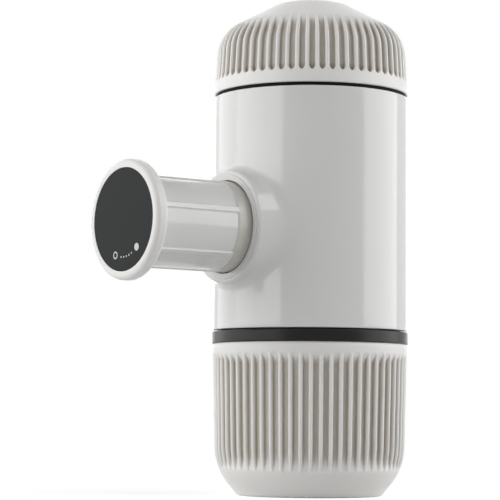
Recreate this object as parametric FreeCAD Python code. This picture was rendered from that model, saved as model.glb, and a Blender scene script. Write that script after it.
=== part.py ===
import FreeCAD
import Part
import math
import os

# Handheld manual espresso maker, in millimetres.
# It stands on the foot of its cup at z = 0, with its long axis on +Z.
# The hand pump comes out of the front, along -Y.
# Pieces on the pump's axis are given by their reach: how far they lie from the long axis towards the front.
# From the floor up: cup, outlet head with its dark collar, housing with the pump, tank seal and water tank.

# Heights of the stack
cup_height = 47.6
collar_height = 3.8
collar_gap = 0.4
housing_height = 74.1
tank_seal_thickness = 1.1
tank_height = 29.0

# Clearances
press_gap = 0.02
running_gap = 0.05
seat_gap = 0.1
slide_gap = 0.15
turn_gap = 0.3

# How far a cut runs past the face that it opens, and the shortest edge that an outline keeps
overcut = 1.0
shortest_edge = 0.000001

# Housing
body_radius = 31.0
housing_wall = 2.4

# Pump boss on the housing
pump_clearance = 2.2
boss_stand = 3.0
boss_rim_width = 1.3
boss_draft = 10.0
boss_edge_round = 0.8
boss_blend_round = 2.6
bezel_width = 1.8
bezel_stand = 0.3
bezel_depth = 1.6
bush_wall = 1.2

# Screwed necks of the tank and of the outlet head, and the sockets that take them
socket_wall = 1.3
neck_wall = 2.3
neck_length = 8.5
socket_floor = 2.6
socket_lip = 0.5

# Water tank
tank_rim_step = 0.1
tank_lean = 1.15
tank_shoulder_height = 19.35
tank_shoulder_round = 11.3
tank_flat_radius = 11.6
tank_wall = 2.6
tank_groove_start = 3.9
tank_groove_depth = 1.5
tank_groove_drop = 1.4
tank_groove_turn = 0.4
tank_groove_reach = 7.25
tank_seal_inset = 0.8

# Cup
cup_rim_step = 0.2
cup_lean = 0.9
cup_shoulder_height = 9.0
cup_shoulder_round = 19.6
cup_foot_inset = 7.1
cup_wall = 3.4
cup_floor = 3.0
cup_groove_start = 4.0
cup_groove_fade = 2.8
cup_groove_depth = 1.5
cup_groove_turn = -2.5

# Grip grooves, the same on the tank and on the cup
groove_count = 60
groove_share = 0.65

# Piston: knob, barrel and the plunger inside them
stroke = 32.0
knob_stand = 1.7
knob_thickness = 4.0
knob_radius = 18.15
knob_front_round = 1.3
knob_back_chamfer = 0.6
knob_rim_width = 2.6
knob_disc_thickness = 1.0
knob_spigot_length = 3.5
knob_web = 3.0
barrel_radius = 14.1
barrel_wall = 1.8
barrel_panel_depth = 0.45
barrel_panel_count = 6
barrel_panel_angle = 52.5
barrel_panel_phase = -13.0
barrel_panel_setback = 16.2
lug_length = 2.6
lug_height = 1.1
lug_count = 3
lug_angle = 36.0
lug_passage_angle = 44.0
lock_ledge = 2.0
sleeve_overlap = 1.3
plunger_radius = 7.0
plunger_head_length = 8.0
rod_radius = 4.0
ring_groove_width = 1.8
ring_groove_depth = 1.2
ring_groove_count = 2
spring_flange_thickness = 2.0
thrust_washer_inset = 1.0
thrust_washer_thickness = 1.5
knob_screw_radius = 2.0
knob_screw_head_radius = 4.5
knob_screw_head_height = 1.5
knob_screw_depth = 9.0

# Pump cylinder, the valve block behind it and the return spring
cylinder_wall = 2.5
cylinder_flange_lip = 0.4
cylinder_flange_thickness = 1.5
cylinder_seal_width = 1.8
cylinder_seal_depth = 0.9
chamber_clearance = 2.0
block_wall = 1.9
block_half_width = 17.5
chamber_port_radius = 2.0
spring_wire_radius = 0.65
spring_turns = 9

# Poppet valves in the valve block
valve_inset = 9.1
valve_bore_radius = 3.6
valve_port_radius = 2.2
poppet_radius = 2.9
poppet_body = 2.0
poppet_nose = 1.2
poppet_tip_radius = 1.3
inlet_seat_rise = 16.0
inlet_seat_length = 4.0
inlet_ledge_rise = 5.0
outlet_edge_drop = 5.0
outlet_plug_length = 3.0
valve_spring_radius = 2.5
valve_spring_wire = 0.3
valve_spring_turns = 4

# Fittings on the floor of the tank socket
strainer_radius = 4.8
strainer_thickness = 0.8
strainer_port_radius = 3.8
strainer_hole_pitch = 2.8
vent_offset = 13.0
vent_stem_radius = 1.5
vent_bulb_radius = 2.1
vent_bulb_height = 1.4
vent_bulb_chamfer = 0.7
vent_cap_radius = 4.0
vent_cap_height = 1.2
vent_hole_radius = 0.6
vent_hole_count = 4

# Group plate: shower screen, its screw, the seal round it and the screws of the frame
group_thickness = 3.6
group_port_radius = 1.6
group_seal_width = 3.6
group_seal_height = 1.5
screen_clearance = 1.2
screen_thickness = 0.8
screen_stand = 0.9
screen_boss_radius = 4.0
screen_screw_radius = 1.5
screen_screw_head_radius = 3.0
screen_screw_head_height = 1.2
screen_screw_depth = 2.6
frame_screw_spacing = 17.0
frame_screw_inset = 12.6
frame_screw_radius = 1.2
frame_screw_head_radius = 2.2
frame_screw_head_height = 1.2
frame_screw_length = 8.0

# Filter basket
basket_rim_width = 3.2
basket_wall = 1.0
basket_depth = 17.0
basket_rim_thickness = 1.5
basket_ledge_width = 1.6
basket_floor = 1.0
basket_floor_chamfer = 0.8
basket_screen_thickness = 0.6

# Coil springs are made of flats, so many round the wire and so many to a turn
wire_sides = 5
wire_steps = 12

# Small holes of the screens
hole_rings = 3
first_ring_holes = 6
hole_margin = 2.2
hole_radius = 0.9
hole_sides = 6

# Outlet head with its valve and spout
head_seal_thickness = 1.4
head_wall = 1.8
head_skirt_length = 8.0
head_cone_depth = 8.0
head_cone_wall = 1.5
head_port_radius = 2.6
head_port_length = 2.4
nozzle_flange_radius = 9.0
nozzle_flange_thickness = 2.0
nozzle_socket_wall = 1.6
nozzle_radius = 8.0
nozzle_taper_start = 7.0
nozzle_tip_radius = 4.0
nozzle_bore_radius = 2.2
nozzle_length = 13.0
valve_chamber_radius = 6.5
valve_chamber_depth = 8.0
pressure_valve_radius = 4.6
pressure_valve_height = 3.0
pressure_valve_chamfer = 1.0
pressure_spring_radius = 3.4
pressure_spring_wire = 0.4
pressure_spring_turns = 4

# Levels that follow from the stack
collar_bottom = cup_height
collar_top = collar_bottom + collar_height
housing_bottom = collar_top + collar_gap
housing_top = housing_bottom + housing_height
tank_bottom = housing_top + tank_seal_thickness
tank_top = tank_bottom + tank_height

# Radii that follow from the housing
shell_inner_radius = body_radius - housing_wall
socket_outer_radius = shell_inner_radius - press_gap
socket_inner_radius = socket_outer_radius - socket_wall
neck_outer_radius = socket_inner_radius - turn_gap
neck_inner_radius = neck_outer_radius - neck_wall
tank_rim_radius = body_radius - tank_rim_step
tank_shoulder_radius = tank_rim_radius - tank_lean
tank_groove_end_radius = tank_shoulder_radius - tank_groove_reach
cup_rim_radius = body_radius - cup_rim_step
cup_shoulder_radius = cup_rim_radius - cup_lean
cup_foot_radius = cup_shoulder_radius - cup_foot_inset
basket_rim_radius = neck_inner_radius - turn_gap
basket_radius = basket_rim_radius - basket_rim_width
basket_inner_radius = basket_radius - basket_wall
head_inner_radius = basket_radius + turn_gap
screen_radius = basket_inner_radius - screen_clearance
hole_pitch = (screen_radius - hole_margin) / hole_rings

# Places behind the pump that follow from the housing
valve_setback = shell_inner_radius - valve_inset
block_face = valve_setback - valve_bore_radius - block_wall
frame_screw_setback = shell_inner_radius - frame_screw_inset

# Levels at the two sockets
tank_neck_bottom = tank_bottom - neck_length
tank_socket_top = housing_top - socket_lip
tank_floor_top = tank_neck_bottom - seat_gap
tank_floor_bottom = tank_floor_top - socket_floor
head_neck_top = housing_bottom + neck_length
group_bottom = head_neck_top + seat_gap
group_top = group_bottom + group_thickness
basket_rim_top = group_bottom - group_seal_height + socket_lip
basket_rim_bottom = basket_rim_top - basket_rim_thickness
basket_bottom = basket_rim_top - basket_depth
head_ledge = basket_rim_bottom - head_seal_thickness
head_cone_top = basket_bottom - seat_gap
head_port_top = head_cone_top - head_cone_depth
head_port_bottom = head_port_top - head_port_length

# Reaches and radii on the pump's axis
bezel_inner_radius = barrel_radius + turn_gap
bezel_outer_radius = bezel_inner_radius + bezel_width
boss_radius = bezel_outer_radius + boss_rim_width
boss_reach = body_radius + boss_stand
bezel_back_reach = boss_reach - bezel_depth
bush_inner_radius = barrel_radius + slide_gap
bush_outer_radius = bush_inner_radius + bush_wall
boss_bore_radius = bush_outer_radius + press_gap
plunger_head_reach = stroke + chamber_clearance - block_face
barrel_end_reach = plunger_head_reach
bush_end_reach = barrel_end_reach + lug_length + turn_gap
lug_radius = barrel_radius + lug_height
sleeve_inner_radius = max(lug_radius + turn_gap, bush_outer_radius + press_gap)
sleeve_outer_radius = sleeve_inner_radius + socket_wall
sleeve_front_reach = bush_end_reach + sleeve_overlap
pump_height = group_top + sleeve_outer_radius + pump_clearance
ledge_front_reach = barrel_end_reach + lug_length - stroke + turn_gap + lock_ledge
knob_back_reach = boss_reach + bezel_stand + knob_stand + stroke
knob_face_reach = knob_back_reach + knob_thickness
knob_disc_radius = knob_radius - knob_rim_width
barrel_inner_radius = barrel_radius - barrel_wall
spigot_reach = knob_back_reach - knob_spigot_length
flange_front_reach = spigot_reach - seat_gap - thrust_washer_thickness
flange_back_reach = flange_front_reach - spring_flange_thickness
spring_flange_radius = barrel_inner_radius - turn_gap
thrust_washer_radius = spring_flange_radius - thrust_washer_inset
cylinder_open_reach = flange_back_reach - stroke - turn_gap
cylinder_bore_radius = plunger_radius + running_gap
cylinder_outer_radius = cylinder_bore_radius + cylinder_wall
cylinder_flange_reach = cylinder_flange_thickness - block_face
spring_radius = (cylinder_outer_radius + barrel_inner_radius) / 2
cylinder_flange_radius = spring_radius + spring_wire_radius + cylinder_flange_lip


def vector(x, y, z):
    return FreeCAD.Vector(x, y, z)


def outline(corners):
    """A closed wire in the XZ plane. A corner is (x, z) or (x, z, round)."""
    points = [vector(c[0], 0, c[1]) for c in corners]
    rounds = [c[2] if len(c) > 2 else 0 for c in corners]
    count = len(corners)
    starts = []
    ends = []
    edges = []
    for i, (corner, radius) in enumerate(zip(points, rounds)):
        to_last = (points[i - 1] - corner).normalize()
        to_next = (points[(i + 1) % count] - corner).normalize()
        half_angle = to_last.getAngle(to_next) / 2
        setback = radius / math.tan(half_angle) if radius else 0
        start = corner + to_last * setback
        end = corner + to_next * setback
        starts.append(start)
        ends.append(end)
        if radius:
            bisector = (to_last + to_next).normalize()
            centre = corner + bisector * (radius / math.sin(half_angle))
            middle = centre - bisector * radius
            edges.append(Part.Arc(start, middle, end).toShape())
    lines = []
    for i in range(count):
        a = ends[i]
        b = starts[(i + 1) % count]
        if a.distanceToPoint(b) > shortest_edge:
            lines.append(Part.LineSegment(a, b).toShape())
    return Part.Wire(Part.__sortEdges__(edges + lines))


def turned(corners):
    """A solid turned about the Z axis from an outline of (radius, height) corners."""
    return Part.Face(outline(corners)).revolve(vector(0, 0, 0), vector(0, 0, 1), 360)


def tube(inner, outer, low, high):
    return turned([(inner, low), (outer, low), (outer, high), (inner, high)])


def rod(radius, low, high):
    return Part.makeCylinder(radius, high - low, vector(0, 0, low))


def on_pump(shape):
    """Lays a shape made about the Z axis on the pump's axis, with its height as its reach."""
    laid = shape.copy()
    laid.Placement = FreeCAD.Placement(
        vector(0, 0, pump_height), FreeCAD.Rotation(vector(1, 0, 0), 90)
    ).multiply(laid.Placement)
    return laid


def around(shape, count, phase=0.0):
    """Copies of a shape, evenly spaced about the Z axis."""
    copies = []
    for i in range(count):
        copy = shape.copy()
        copy.rotate(vector(0, 0, 0), vector(0, 0, 1), phase + 360.0 * i / count)
        copies.append(copy)
    return copies


def turned_part(corners, angle):
    """Part of a turn about the Z axis, centred on the X axis."""
    solid = Part.Face(outline(corners)).revolve(vector(0, 0, 0), vector(0, 0, 1), angle)
    solid.rotate(vector(0, 0, 0), vector(0, 0, 1), -angle / 2)
    return solid


def sector(inner, outer, low, high, angle):
    """A wedge of a tube, centred on the X axis."""
    return turned_part([(inner, low), (outer, low), (outer, high), (inner, high)], angle)


def moved(shape, x, y, z):
    copy = shape.copy()
    copy.translate(vector(x, y, z))
    return copy


def grip_grooves(corners, ridge_turn):
    """Grooves evenly spaced round the axis, each a part turn of the outline that it takes away."""
    pitch = 360.0 / groove_count
    groove = turned_part(corners, pitch * groove_share)
    return around(groove, groove_count, ridge_turn + pitch / 2)


def slope_at_radius(a, b, radius):
    """Height at a radius on the straight line through two (radius, height) points."""
    return a[1] + (radius - a[0]) * (b[1] - a[1]) / (b[0] - a[0])


def slope_at_height(a, b, height):
    """Radius at a height on the straight line through two (radius, height) points."""
    return a[0] + (height - a[1]) * (b[0] - a[0]) / (b[1] - a[1])


def helix_spring(mean_radius, wire_radius, turns, low, high):
    """A coil spring about the Z axis, of flats along its wire, cut square at both ends."""
    rings = []
    count = turns * wire_steps
    travel = high - low - 2 * wire_radius
    for i in range(count + 1):
        angle = 2 * math.pi * i / wire_steps
        height = low + wire_radius + travel * i / count
        ring = []
        for j in range(wire_sides):
            tilt = 2 * math.pi * j / wire_sides
            radius = mean_radius + wire_radius * math.cos(tilt)
            rise = wire_radius * math.sin(tilt)
            ring.append(vector(radius * math.cos(angle), radius * math.sin(angle), height + rise))
        rings.append(ring)
    faces = [Part.Face(Part.makePolygon(r + r[:1])) for r in (rings[0], rings[-1])]
    for here, there in zip(rings, rings[1:]):
        for j in range(wire_sides):
            k = (j + 1) % wire_sides
            for three in ((here[j], here[k], there[k]), (here[j], there[k], there[j])):
                faces.append(Part.Face(Part.makePolygon(list(three) + [three[0]])))
    solid = Part.Solid(Part.Shell(faces))
    if solid.Volume < 0:
        solid.reverse()
    return solid


def small_holes(rings, pitch, low, high):
    """Rings of small six-sided holes about the Z axis. Each ring has as many more holes as the first has."""
    holes = []
    for ring in range(1, rings + 1):
        hole_count = first_ring_holes * ring
        for i in range(hole_count):
            angle = 2 * math.pi * i / hole_count
            middle = vector(ring * pitch * math.cos(angle), ring * pitch * math.sin(angle), low)
            corners = []
            for k in range(hole_sides + 1):
                turn = 2 * math.pi * k / hole_sides
                corners.append(middle + vector(hole_radius * math.cos(turn), hole_radius * math.sin(turn), 0))
            holes.append(Part.Face(Part.makePolygon(corners)).extrude(vector(0, 0, high - low)))
    return holes


def portable_cup():
    """Ribbed cup. Its wall leans out to the rim, and its grooves run out on the curve above the foot."""
    shoulder = (cup_shoulder_radius, cup_shoulder_height)
    foot = (cup_foot_radius, 0)
    inner_radius = cup_shoulder_radius - cup_wall
    inner_foot = cup_foot_radius - cup_wall / 2
    body = turned(
        [
            (0, 0),
            (cup_foot_radius, 0),
            (cup_shoulder_radius, cup_shoulder_height, cup_shoulder_round),
            (cup_rim_radius, cup_height),
            (inner_radius, cup_height),
            (inner_radius, slope_at_radius(foot, shoulder, inner_radius) + cup_floor),
            (inner_foot, cup_floor),
            (0, cup_floor),
        ]
    )
    fade_top = cup_height - cup_groove_start
    fade_bottom = fade_top - cup_groove_fade
    rim = (cup_rim_radius, cup_height)
    surface_top = slope_at_height(shoulder, rim, fade_top)
    floor_top = slope_at_height(shoulder, rim, fade_bottom) - cup_groove_depth
    floor_bottom = cup_shoulder_radius - cup_groove_depth
    outside = cup_rim_radius + cup_groove_depth
    return body.cut(
        grip_grooves(
            [
                (floor_bottom, 0),
                (outside, 0),
                (outside, fade_top),
                (surface_top, fade_top),
                (floor_top, fade_bottom),
            ],
            cup_groove_turn,
        )
    )


def water_tank():
    """Ribbed dome with a neck that screws into the housing. The grooves climb over its shoulder."""
    shoulder = (tank_shoulder_radius, tank_bottom + tank_shoulder_height)
    top_edge = (tank_flat_radius, tank_top)
    inner_radius = tank_shoulder_radius - tank_groove_depth - tank_wall / 2
    inner_top = tank_top - tank_wall
    inner_shoulder = slope_at_radius(shoulder, top_edge, inner_radius) - tank_wall - tank_groove_drop
    body = turned(
        [
            (neck_inner_radius, tank_neck_bottom),
            (neck_outer_radius, tank_neck_bottom),
            (neck_outer_radius, tank_bottom),
            (tank_rim_radius, tank_bottom),
            (tank_shoulder_radius, tank_bottom + tank_shoulder_height, tank_shoulder_round),
            (tank_flat_radius, tank_top),
            (0, tank_top),
            (0, inner_top),
            (tank_flat_radius, inner_top),
            (inner_radius, inner_shoulder),
            (inner_radius, tank_bottom + tank_wall),
            (neck_inner_radius, tank_bottom + tank_wall),
        ]
    )
    groove_bottom = tank_bottom + tank_groove_start
    floor_radius = tank_shoulder_radius - tank_groove_depth
    floor_corner = shoulder[1] - tank_groove_drop
    groove_end = slope_at_radius(shoulder, top_edge, tank_groove_end_radius)
    outside = tank_rim_radius + tank_groove_depth
    return body.cut(
        grip_grooves(
            [
                (floor_radius, groove_bottom),
                (outside, groove_bottom),
                (outside, groove_end),
                (tank_groove_end_radius, groove_end),
                (floor_radius, floor_corner),
            ],
            tank_groove_turn,
        )
    )


def tank_seal():
    return tube(
        neck_outer_radius + turn_gap, body_radius - tank_seal_inset, housing_top, tank_bottom
    )


def main_housing():
    """The outer shell: a plain tube with a short flared boss in front for the pump."""
    shell = turned(
        [
            (0, housing_bottom),
            (body_radius, housing_bottom),
            (body_radius, housing_top),
            (0, housing_top),
        ]
    )
    root_reach = body_radius / 2
    flare = (boss_reach - root_reach) * math.tan(math.radians(boss_draft))
    boss = turned(
        [
            (0, root_reach),
            (boss_radius + flare, root_reach),
            (boss_radius, boss_reach, boss_edge_round),
            (0, boss_reach),
        ]
    )
    body = shell.fuse(on_pump(boss))
    seam = []
    for edge in body.Edges:
        middle = edge.valueAt((edge.FirstParameter + edge.LastParameter) / 2)
        on_wall = abs(math.hypot(middle.x, middle.y) - body_radius) < seat_gap
        level = abs(middle.z - pump_height) < boss_radius + flare
        if on_wall and level and edge.Length > boss_radius and middle.y < -root_reach:
            seam.append(edge)
    body = body.makeFillet(boss_blend_round, seam)
    body = body.cut(rod(shell_inner_radius, housing_bottom - overcut, housing_top + overcut))
    body = body.cut(on_pump(rod(boss_bore_radius, 0, boss_reach + overcut)))
    body = body.cut(on_pump(rod(bezel_outer_radius + press_gap, bezel_back_reach, boss_reach + overcut)))
    return body.cut(on_pump(rod(sleeve_outer_radius + slide_gap, 0, sleeve_front_reach + seat_gap)))


def boss_bezel():
    return on_pump(
        tube(bezel_inner_radius, bezel_outer_radius, bezel_back_reach, boss_reach + bezel_stand)
    )


def guide_bush():
    return on_pump(tube(bush_inner_radius, bush_outer_radius, bush_end_reach, bezel_back_reach))


def lock_sleeve():
    """Sleeve from the valve block to the bush, with a slotted ledge that the barrel's lugs turn behind."""
    sleeve = tube(sleeve_inner_radius, sleeve_outer_radius, -block_face, sleeve_front_reach)
    ledge = tube(
        bush_inner_radius, sleeve_inner_radius, ledge_front_reach - lock_ledge, ledge_front_reach
    )
    passage = sector(
        bush_inner_radius - overcut,
        sleeve_inner_radius,
        ledge_front_reach - lock_ledge - overcut,
        ledge_front_reach + overcut,
        lug_passage_angle,
    )
    ledge = ledge.cut(around(passage, lug_count))
    return on_pump(sleeve.fuse(ledge))


def piston_barrel():
    """Tube with panels let into it lengthwise, ribs between them and bayonet lugs at its hidden end."""
    barrel = tube(barrel_inner_radius, barrel_radius, barrel_end_reach, knob_back_reach)
    lug = sector(
        barrel_radius - barrel_wall / 2,
        lug_radius,
        barrel_end_reach,
        barrel_end_reach + lug_length,
        lug_angle,
    )
    panel = sector(
        barrel_radius - barrel_panel_depth,
        barrel_radius + overcut,
        barrel_end_reach + lug_length + barrel_panel_setback,
        knob_back_reach + overcut,
        barrel_panel_angle,
    )
    barrel = barrel.cut(around(panel, barrel_panel_count, barrel_panel_phase))
    return on_pump(barrel.fuse(around(lug, lug_count)))


def piston_knob():
    """Cap of the piston: a spigot in the barrel, a round-edged rim and a recess for the disc."""
    disc_back = knob_face_reach - knob_disc_thickness
    web_front = spigot_reach + knob_web
    counterbore = knob_screw_head_radius + turn_gap
    knob = turned(
        [
            (knob_screw_radius + running_gap, spigot_reach),
            (barrel_inner_radius - press_gap, spigot_reach),
            (barrel_inner_radius - press_gap, knob_back_reach),
            (knob_radius - knob_back_chamfer, knob_back_reach),
            (knob_radius, knob_back_reach + knob_back_chamfer),
            (knob_radius, knob_face_reach, knob_front_round),
            (knob_disc_radius + press_gap, knob_face_reach),
            (knob_disc_radius + press_gap, disc_back),
            (counterbore, disc_back),
            (counterbore, web_front),
            (knob_screw_radius + running_gap, web_front),
        ]
    )
    return on_pump(knob)


def knob_disc():
    return on_pump(rod(knob_disc_radius, knob_face_reach - knob_disc_thickness, knob_face_reach))


def knob_screw():
    """Shoulder screw through the knob's web and the thrust washer into the plunger."""
    head_back = spigot_reach + knob_web + seat_gap
    screw = turned(
        [
            (0, flange_front_reach - knob_screw_depth),
            (knob_screw_radius, flange_front_reach - knob_screw_depth),
            (knob_screw_radius, head_back),
            (knob_screw_head_radius, head_back),
            (knob_screw_head_radius, head_back + knob_screw_head_height),
            (0, head_back + knob_screw_head_height),
        ]
    )
    return on_pump(screw)


def thrust_washer():
    return on_pump(
        tube(
            knob_screw_radius + running_gap,
            thrust_washer_radius,
            flange_front_reach,
            flange_front_reach + thrust_washer_thickness,
        )
    )


def ring_reaches():
    """Where the plunger's ring grooves start, evenly spaced along its head."""
    step = plunger_head_length / ring_groove_count
    first = plunger_head_reach + (step - ring_groove_width) / 2
    return [first + step * i for i in range(ring_groove_count)]


def plunger():
    """Rod with the pump's head at its back end and the spring's flange at its front end."""
    head_front = plunger_head_reach + plunger_head_length
    solid = turned(
        [
            (0, plunger_head_reach),
            (plunger_radius, plunger_head_reach),
            (plunger_radius, head_front),
            (rod_radius, head_front),
            (rod_radius, flange_back_reach),
            (spring_flange_radius, flange_back_reach),
            (spring_flange_radius, flange_front_reach),
            (0, flange_front_reach),
        ]
    )
    for reach in ring_reaches():
        floor = plunger_radius - ring_groove_depth
        solid = solid.cut(tube(floor, plunger_radius + overcut, reach, reach + ring_groove_width))
    hole = rod(knob_screw_radius, flange_front_reach - knob_screw_depth, flange_front_reach + overcut)
    return on_pump(solid.cut(hole))


def plunger_rings():
    """Rubber rings in the plunger's grooves, proud of its head by the running gap."""
    rings = []
    for reach in ring_reaches():
        floor = plunger_radius - ring_groove_depth
        rings.append(on_pump(tube(floor, plunger_radius, reach, reach + ring_groove_width)))
    return Part.makeCompound(rings)


def return_spring():
    return on_pump(
        helix_spring(
            spring_radius,
            spring_wire_radius,
            spring_turns,
            cylinder_flange_reach,
            flange_back_reach,
        )
    )


def pump_cylinder():
    cylinder = turned(
        [
            (cylinder_bore_radius, -block_face),
            (cylinder_flange_radius, -block_face),
            (cylinder_flange_radius, cylinder_flange_reach),
            (cylinder_outer_radius, cylinder_flange_reach),
            (cylinder_outer_radius, cylinder_open_reach),
            (cylinder_bore_radius, cylinder_open_reach),
        ]
    )
    return on_pump(cylinder)


def cylinder_seal():
    inner = cylinder_outer_radius - cylinder_seal_width / 2
    return on_pump(
        tube(inner, inner + cylinder_seal_width, -block_face - cylinder_seal_depth, -block_face)
    )


def poppet_bottom_below(edge_height):
    """Where a poppet's bottom lies when its nose rests just clear of the edge of the port above it."""
    nose_inside = poppet_nose * (valve_port_radius - poppet_tip_radius) / (poppet_radius - poppet_tip_radius)
    return edge_height - poppet_body - poppet_nose + nose_inside - running_gap


def poppet(edge_height):
    low = poppet_bottom_below(edge_height)
    return turned(
        [
            (0, low),
            (poppet_radius, low),
            (poppet_radius, low + poppet_body),
            (poppet_tip_radius, low + poppet_body + poppet_nose),
            (0, low + poppet_body + poppet_nose),
        ]
    )


def valve_spring(low, edge_height):
    """The spring under a poppet, from its ledge to the poppet's flat bottom."""
    high = poppet_bottom_below(edge_height)
    return helix_spring(valve_spring_radius, valve_spring_wire, valve_spring_turns, low, high)


def at_valves(shape):
    return moved(shape, 0, valve_setback, 0)


def frame_screw_places():
    half = frame_screw_spacing / 2
    return [(-half, frame_screw_setback), (half, frame_screw_setback)]


def valve_block():
    """Upright block behind the pump that holds both valves and carries the cylinder and the sleeve."""
    ledge = pump_height + inlet_ledge_rise
    outlet_edge = pump_height - outlet_edge_drop
    half_space = Part.makeBox(
        block_half_width * 2,
        body_radius,
        tank_floor_bottom - group_top,
        vector(-block_half_width, block_face, group_top),
    )
    block = rod(shell_inner_radius - turn_gap, group_top, tank_floor_bottom).common(half_space)
    block = block.cut(at_valves(rod(valve_bore_radius, ledge, tank_floor_bottom + overcut)))
    block = block.cut(at_valves(rod(valve_port_radius, outlet_edge - overcut, ledge + overcut)))
    block = block.cut(at_valves(rod(valve_bore_radius, group_top - overcut, outlet_edge)))
    block = block.cut(on_pump(rod(chamber_port_radius, -valve_setback, 0)))
    seal = cylinder_outer_radius - cylinder_seal_width / 2
    groove = tube(seal, seal + cylinder_seal_width, -block_face - cylinder_seal_depth, 0)
    block = block.cut(on_pump(groove))
    for x, y in frame_screw_places():
        depth = frame_screw_length
        block = block.cut(moved(rod(frame_screw_radius, group_top - overcut, group_top + depth), x, y, 0))
        top = tank_floor_bottom
        block = block.cut(moved(rod(frame_screw_radius, top - depth, top + overcut), x, y, 0))
    return block


def inlet_seat():
    low = pump_height + inlet_seat_rise
    return at_valves(
        tube(valve_port_radius, valve_bore_radius - press_gap, low, low + inlet_seat_length)
    )


def inlet_poppet():
    return at_valves(poppet(pump_height + inlet_seat_rise))


def inlet_spring():
    return at_valves(valve_spring(pump_height + inlet_ledge_rise, pump_height + inlet_seat_rise))


def outlet_poppet():
    return at_valves(poppet(pump_height - outlet_edge_drop))


def outlet_spring():
    return at_valves(valve_spring(group_top + outlet_plug_length, pump_height - outlet_edge_drop))


def outlet_plug():
    return at_valves(
        tube(
            group_port_radius,
            valve_bore_radius - press_gap,
            group_top,
            group_top + outlet_plug_length,
        )
    )


def vent_holes(low, high):
    ring = around(
        moved(rod(vent_hole_radius, low, high), (vent_stem_radius + vent_cap_radius) / 2, 0, 0),
        vent_hole_count,
    )
    return [moved(hole, 0, -vent_offset, 0) for hole in ring]


def tank_socket():
    """Socket for the tank's neck. Its floor has the water intake, the air vent and two screws."""
    socket = turned(
        [
            (0, tank_floor_bottom),
            (socket_outer_radius, tank_floor_bottom),
            (socket_outer_radius, tank_socket_top),
            (socket_inner_radius, tank_socket_top),
            (socket_inner_radius, tank_floor_top),
            (0, tank_floor_top),
        ]
    )
    recess = tank_floor_top - strainer_thickness
    through = tank_floor_bottom - overcut
    above = tank_floor_top + overcut
    socket = socket.cut(at_valves(rod(strainer_radius + press_gap, recess, above)))
    socket = socket.cut(at_valves(rod(strainer_port_radius, through, above)))
    socket = socket.cut(moved(rod(vent_stem_radius, through, above), 0, -vent_offset, 0))
    socket = socket.cut(vent_holes(through, above))
    head_low = tank_floor_top - frame_screw_head_height - seat_gap
    for x, y in frame_screw_places():
        socket = socket.cut(moved(rod(frame_screw_radius, through, above), x, y, 0))
        counterbore = rod(frame_screw_head_radius + seat_gap, head_low, above)
        socket = socket.cut(moved(counterbore, x, y, 0))
    return socket


def intake_strainer():
    low = tank_floor_top - strainer_thickness
    disc = rod(strainer_radius, low, tank_floor_top)
    return at_valves(disc.cut(small_holes(1, strainer_hole_pitch, low - overcut, tank_floor_top + overcut)))


def air_valve():
    """Mushroom of soft rubber: its cap covers the vent's holes and its bulb holds it in the floor."""
    valve = turned(
        [
            (0, tank_floor_bottom - vent_bulb_height),
            (vent_bulb_radius - vent_bulb_chamfer, tank_floor_bottom - vent_bulb_height),
            (vent_bulb_radius, tank_floor_bottom - vent_bulb_height + vent_bulb_chamfer),
            (vent_bulb_radius, tank_floor_bottom),
            (vent_stem_radius, tank_floor_bottom),
            (vent_stem_radius, tank_floor_top),
            (vent_cap_radius, tank_floor_top),
            (0, tank_floor_top + vent_cap_height),
        ]
    )
    return moved(valve, 0, -vent_offset, 0)


def group_block():
    """Plate over the coffee, with the socket for the outlet head, the seal's groove and the water port."""
    groove_inner = basket_inner_radius + slide_gap
    plate = turned(
        [
            (0, group_bottom),
            (socket_inner_radius, group_bottom),
            (socket_inner_radius, housing_bottom + socket_lip),
            (socket_outer_radius, housing_bottom + socket_lip),
            (socket_outer_radius, group_top),
            (0, group_top),
        ]
    )
    stand = group_bottom - screen_stand
    plate = plate.fuse(rod(screen_boss_radius, stand, group_bottom))
    plate = plate.cut(
        tube(groove_inner, groove_inner + group_seal_width, group_bottom - overcut, group_bottom + socket_lip)
    )
    plate = plate.cut(rod(screen_screw_radius, stand - overcut, stand + screen_screw_depth))
    port = Part.makeCylinder(
        group_port_radius,
        group_thickness * 2,
        vector(0, valve_setback, group_top),
        vector(0, -1, -1),
    )
    plate = plate.cut(port)
    head_high = group_bottom + seat_gap + frame_screw_head_height
    for x, y in frame_screw_places():
        plate = plate.cut(moved(rod(frame_screw_radius, group_bottom - overcut, group_top + overcut), x, y, 0))
        counterbore = rod(frame_screw_head_radius + seat_gap, group_bottom - overcut, head_high)
        plate = plate.cut(moved(counterbore, x, y, 0))
    return plate


def frame_screws():
    """Two screws down from the tank socket and two up from the group plate, into the valve block."""
    screws = []
    for x, y in frame_screw_places():
        head = group_bottom + seat_gap
        neck = head + frame_screw_head_height
        up = rod(frame_screw_head_radius, head, neck).fuse(
            rod(frame_screw_radius, neck, neck + frame_screw_length)
        )
        screws.append(moved(up, x, y, 0))
        head = tank_floor_top - seat_gap
        neck = head - frame_screw_head_height
        down = rod(frame_screw_head_radius, neck, head).fuse(
            rod(frame_screw_radius, neck - frame_screw_length, neck)
        )
        screws.append(moved(down, x, y, 0))
    return Part.makeCompound(screws)


def shower_screen():
    high = group_bottom - screen_stand
    low = high - screen_thickness
    disc = tube(screen_screw_radius, screen_radius, low, high)
    return disc.cut(small_holes(hole_rings, hole_pitch, low - overcut, high + overcut))


def screen_screw():
    high = group_bottom - screen_stand
    low = high - screen_thickness
    head = rod(screen_screw_head_radius, low - screen_screw_head_height, low)
    return head.fuse(rod(screen_screw_radius, low, high + screen_screw_depth))


def group_seal():
    inner = basket_inner_radius + slide_gap
    return tube(inner, inner + group_seal_width, basket_rim_top, group_bottom + socket_lip)


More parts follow.
